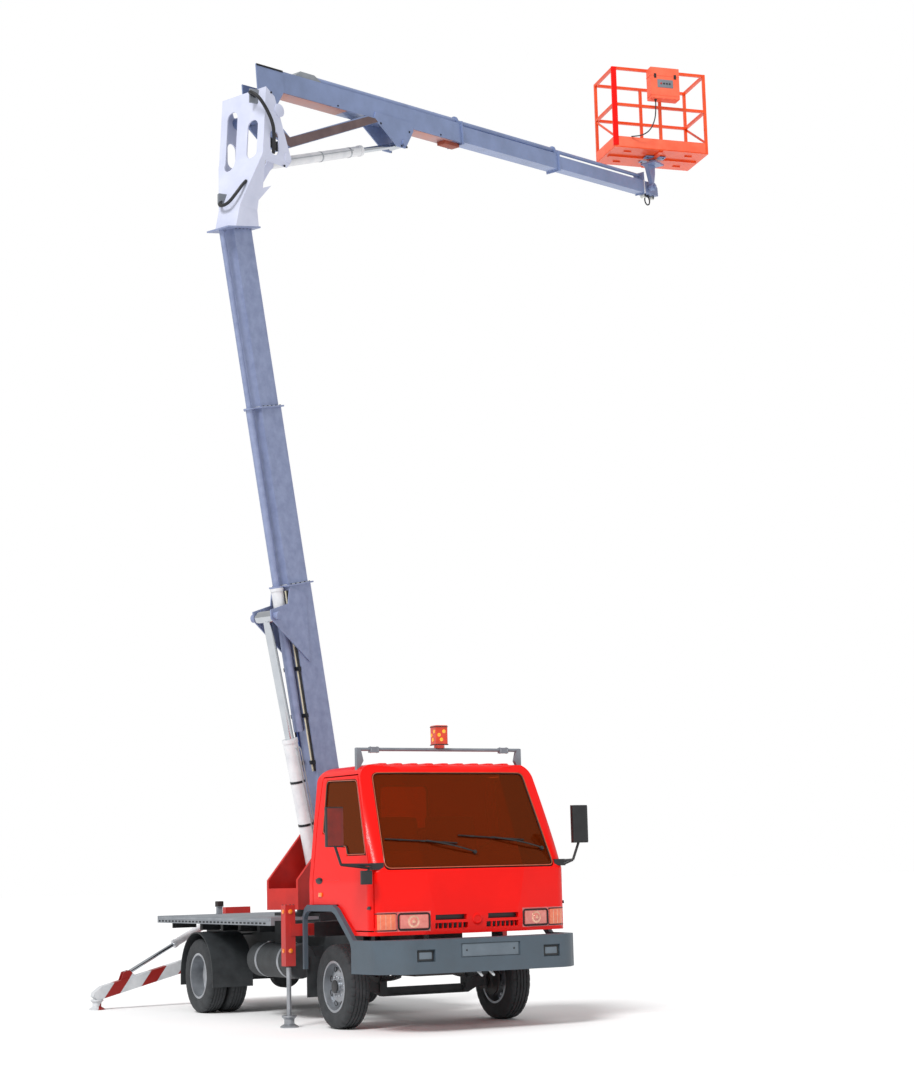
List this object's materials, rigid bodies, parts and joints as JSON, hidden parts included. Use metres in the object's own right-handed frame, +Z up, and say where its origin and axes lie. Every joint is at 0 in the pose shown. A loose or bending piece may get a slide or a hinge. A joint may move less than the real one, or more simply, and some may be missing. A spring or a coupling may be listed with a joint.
{
  "type": "cherry picker truck",
  "caption": "Small cab-over truck with a slewing turret, telescopic lower boom, elbow, telescopic upper boom and work basket, standing on outriggers.",
  "frame": {"origin": "centre of the whole object's footprint box, on the ground", "axes": "+X is the truck's forward direction, +Y its left, +Z up; the raised boom points to the left rear"},
  "size_m": [6.0249, 8.2999, 11.7695],
  "materials": {
    "black_steel": "satin",
    "cast_iron": "rough",
    "red_steel": "gloss",
    "deck_aluminium": "satin",
    "grey_plastic": "matte",
    "red_cab_paint": "gloss",
    "lamp_lens": "gloss",
    "beacon_lens": "gloss",
    "dark_glass": "tinted",
    "black_plastic": "matte",
    "seat_fabric": "woven",
    "tyre_rubber": "matte",
    "silver_steel": "satin",
    "white_paint": "gloss",
    "ram_chrome": "polished",
    "boom_grey": "satin",
    "orange_aluminium": "satin",
    "orange_plastic": "satin"
  },
  "bodies": {
    "chassis": {"chassis_frame": "black_steel", "engine": "cast_iron", "driveline": "black_steel", "front_axle": "black_steel", "rear_axle": "black_steel", "leaf_springs": "black_steel", "tanks": "black_steel", "subframe": "black_steel", "rear_outrigger_frame": "red_steel", "deck": "deck_aluminium", "mudguards": "black_steel", "bumper_and_flares": "grey_plastic", "cab_shell": "red_cab_paint", "front_panel": "red_cab_paint", "headlamps": "lamp_lens", "cab_windows": "dark_glass", "dashboard": "black_plastic", "seats": "seat_fabric", "roof_bar": "black_plastic", "beacon": "beacon_lens", "mirrors": "black_plastic"},
    "turret": {"turret": "red_steel"},
    "lower_boom_outer": {"lower_boom_outer": "boom_grey"},
    "lower_boom_middle": {"lower_boom_middle": "boom_grey"},
    "lower_boom_inner": {"lower_boom_inner": "boom_grey", "elbow_bracket": "boom_grey"},
    "lift_ram_barrel": {"lift_ram_barrel": "white_paint"},
    "lift_ram_rod": {"lift_ram_rod": "ram_chrome"},
    "upper_boom_outer": {"upper_boom_outer": "boom_grey"},
    "upper_boom_middle": {"upper_boom_middle": "boom_grey"},
    "upper_boom_inner": {"upper_boom_inner": "boom_grey"},
    "upper_ram_barrel": {"upper_ram_barrel": "white_paint"},
    "upper_ram_rod": {"upper_ram_rod": "ram_chrome"},
    "basket_mount": {"basket_mount": "boom_grey"},
    "basket": {"basket": "orange_aluminium", "control_box": "orange_plastic"},
    "knuckle_left": {"knuckle_left": "cast_iron"},
    "wheel_front_left": {"tyre_front_left": "tyre_rubber", "rim_front_left": "silver_steel"},
    "wheel_rear_left": {"tyres_rear_left": "tyre_rubber", "rim_rear_left": "silver_steel"},
    "door_left": {"door_left": "red_cab_paint", "door_glass_left": "dark_glass"},
    "front_beam_left": {"front_outrigger_beam_left": "red_steel"},
    "front_jack_left": {"front_jack_left": "silver_steel"},
    "rear_arm_left": {"rear_outrigger_arm_left": "silver_steel"},
    "rear_ram_barrel_left": {"rear_ram_barrel_left": "white_paint"},
    "rear_ram_rod_left": {"rear_ram_rod_left": "ram_chrome"},
    "knuckle_right": {"knuckle_right": "cast_iron"},
    "wheel_front_right": {"tyre_front_right": "tyre_rubber", "rim_front_right": "silver_steel"},
    "wheel_rear_right": {"tyres_rear_right": "tyre_rubber", "rim_rear_right": "silver_steel"},
    "door_right": {"door_right": "red_cab_paint", "door_glass_right": "dark_glass"},
    "front_beam_right": {"front_outrigger_beam_right": "red_steel"},
    "front_jack_right": {"front_jack_right": "silver_steel"},
    "rear_arm_right": {"rear_outrigger_arm_right": "silver_steel"},
    "rear_ram_barrel_right": {"rear_ram_barrel_right": "white_paint"},
    "rear_ram_rod_right": {"rear_ram_rod_right": "ram_chrome"}
  },
  "joints": [
    {"name": "slew", "type": "hinge", "parent": "chassis", "child": "turret", "pos_m": [-0.1775, -2.46499, 1.06], "axis": [0, 0, 1], "range_deg": [-113.2, 246.8]},
    {"name": "lower_lift", "type": "hinge", "parent": "turret", "child": "lower_boom_outer", "pos_m": [-0.21689, -2.37307, 2.2], "axis": [-0.9191, -0.3939, 0], "range_deg": [-78, 3]},
    {"name": "lift_ram_swing", "type": "hinge", "parent": "turret", "child": "lift_ram_barrel", "pos_m": [-0.05932, -2.74073, 1.36], "axis": [-0.9191, -0.3939, 0], "range_deg": [-70.94, 3.69]},
    {"name": "lift_ram_stroke", "type": "slide", "parent": "lift_ram_barrel", "child": "lift_ram_rod", "axis": [0.1005, -0.2345, 0.9669], "range_m": [-1.14504, 0.05366]},
    {"name": "lower_extend", "type": "slide", "parent": "lower_boom_outer", "child": "lower_boom_middle", "axis": [0.0812, -0.1895, 0.9785], "range_m": [-1.78, 0.05]},
    {"name": "lower_extend_inner", "type": "slide", "parent": "lower_boom_middle", "child": "lower_boom_inner", "axis": [0.0812, -0.1895, 0.9785], "range_m": [-1.78, 0.05]},
    {"name": "upper_lift", "type": "hinge", "parent": "lower_boom_inner", "child": "upper_boom_outer", "pos_m": [0.23739, -3.433, 9.20016], "axis": [0.9191, 0.3939, 0], "range_deg": [-84, 8]},
    {"name": "upper_ram_swing", "type": "hinge", "parent": "lower_boom_inner", "child": "upper_ram_barrel", "pos_m": [0.19012, -3.32271, 8.72016], "axis": [0.9191, 0.3939, 0], "range_deg": [-97.55, 10.2]},
    {"name": "upper_ram_stroke", "type": "slide", "parent": "upper_ram_barrel", "child": "upper_ram_rod", "axis": [-0.3701, 0.8635, 0.3427], "range_m": [-0.50292, 0.05695]},
    {"name": "upper_extend", "type": "slide", "parent": "upper_boom_outer", "child": "upper_boom_middle", "axis": [-0.3924, 0.9155, 0.0889], "range_m": [-1.94, 0.05]},
    {"name": "upper_extend_inner", "type": "slide", "parent": "upper_boom_middle", "child": "upper_boom_inner", "axis": [-0.3924, 0.9155, 0.0889], "range_m": [-1.94, 0.05]},
    {"name": "basket_level", "type": "hinge", "parent": "upper_boom_inner", "child": "basket_mount", "pos_m": [-2.69191, 3.40157, 10.28646], "axis": [-0.9191, -0.3939, 0], "range_deg": [-6, 70]},
    {"name": "basket_turn", "type": "hinge", "parent": "basket_mount", "child": "basket", "pos_m": [-2.53671, 3.43545, 10.65746], "axis": [0, 0, 1], "range_deg": [-90, 90]},
    {"name": "steer_left", "type": "hinge", "parent": "chassis", "child": "knuckle_left", "pos_m": [1.7225, -1.82499, 0.38], "axis": [0, 0, 1], "range_deg": [-35, 35]},
    {"name": "wheel_front_left", "type": "hinge", "parent": "knuckle_left", "child": "wheel_front_left", "pos_m": [1.7225, -1.62499, 0.38], "axis": [0, 1, 0], "continuous": true},
    {"name": "wheel_rear_left", "type": "hinge", "parent": "chassis", "child": "wheel_rear_left", "pos_m": [-1.4875, -1.68099, 0.38], "axis": [0, 1, 0], "continuous": true},
    {"name": "door_left", "type": "hinge", "parent": "chassis", "child": "door_left", "pos_m": [2.6525, -1.50299, 1.6], "axis": [0, 0, -1], "range_deg": [0, 65]},
    {"name": "front_beam_left", "type": "slide", "parent": "chassis", "child": "front_beam_left", "axis": [0, 1, 0], "range_m": [-0.18, 0]},
    {"name": "front_jack_left", "type": "slide", "parent": "front_beam_left", "child": "front_jack_left", "axis": [0, 0, -1], "range_m": [-0.4, 0]},
    {"name": "rear_arm_left", "type": "hinge", "parent": "chassis", "child": "rear_arm_left", "pos_m": [-2.9275, -2.14499, 0.5], "axis": [-1, 0, 0], "range_deg": [-68, 0]},
    {"name": "rear_ram_swing_left", "type": "hinge", "parent": "chassis", "child": "rear_ram_barrel_left", "pos_m": [-2.9275, -2.38499, 1.01], "axis": [-1, 0, 0], "range_deg": [-53.39, 1]},
    {"name": "rear_ram_stroke_left", "type": "slide", "parent": "rear_ram_barrel_left", "child": "rear_ram_rod_left", "axis": [0, 0.8801, -0.4748], "range_m": [-0.56913, 0.004]},
    {"name": "steer_right", "type": "hinge", "parent": "chassis", "child": "knuckle_right", "pos_m": [1.7225, -3.10499, 0.38], "axis": [0, 0, 1], "range_deg": [-35, 35]},
    {"name": "wheel_front_right", "type": "hinge", "parent": "knuckle_right", "child": "wheel_front_right", "pos_m": [1.7225, -3.30499, 0.38], "axis": [0, 1, 0], "continuous": true},
    {"name": "wheel_rear_right", "type": "hinge", "parent": "chassis", "child": "wheel_rear_right", "pos_m": [-1.4875, -3.24899, 0.38], "axis": [0, 1, 0], "continuous": true},
    {"name": "door_right", "type": "hinge", "parent": "chassis", "child": "door_right", "pos_m": [2.6525, -3.42699, 1.6], "axis": [0, 0, 1], "range_deg": [0, 65]},
    {"name": "front_beam_right", "type": "slide", "parent": "chassis", "child": "front_beam_right", "axis": [0, -1, 0], "range_m": [-0.18, 0]},
    {"name": "front_jack_right", "type": "slide", "parent": "front_beam_right", "child": "front_jack_right", "axis": [0, 0, -1], "range_m": [-0.4, 0]},
    {"name": "rear_arm_right", "type": "hinge", "parent": "chassis", "child": "rear_arm_right", "pos_m": [-2.9275, -2.78499, 0.5], "axis": [1, 0, 0], "range_deg": [-68, 0]},
    {"name": "rear_ram_swing_right", "type": "hinge", "parent": "chassis", "child": "rear_ram_barrel_right", "pos_m": [-2.9275, -2.54499, 1.01], "axis": [1, 0, 0], "range_deg": [-53.39, 1]},
    {"name": "rear_ram_stroke_right", "type": "slide", "parent": "rear_ram_barrel_right", "child": "rear_ram_rod_right", "axis": [0, -0.8801, -0.4748], "range_m": [-0.56913, 0.004]}
  ],
  "couplings": [
    {"joint": "lift_ram_swing", "follows": "lower_lift", "ratio": 0.89662},
    {"joint": "lift_ram_stroke", "follows": "lower_lift", "m_per_rad": 0.83376},
    {"joint": "lower_extend_inner", "follows": "lower_extend", "ratio": 1},
    {"joint": "upper_ram_swing", "follows": "upper_lift", "ratio": 1.1494},
    {"joint": "upper_ram_stroke", "follows": "upper_lift", "m_per_rad": 0.33622},
    {"joint": "upper_extend_inner", "follows": "upper_extend", "ratio": 1},
    {"joint": "steer_right", "follows": "steer_left", "ratio": 1},
    {"joint": "rear_ram_swing_left", "follows": "rear_arm_left", "ratio": 0.77048},
    {"joint": "rear_ram_stroke_left", "follows": "rear_arm_left", "m_per_rad": 0.47617},
    {"joint": "rear_ram_swing_right", "follows": "rear_arm_right", "ratio": 0.77048},
    {"joint": "rear_ram_stroke_right", "follows": "rear_arm_right", "m_per_rad": 0.47617}
  ]
}
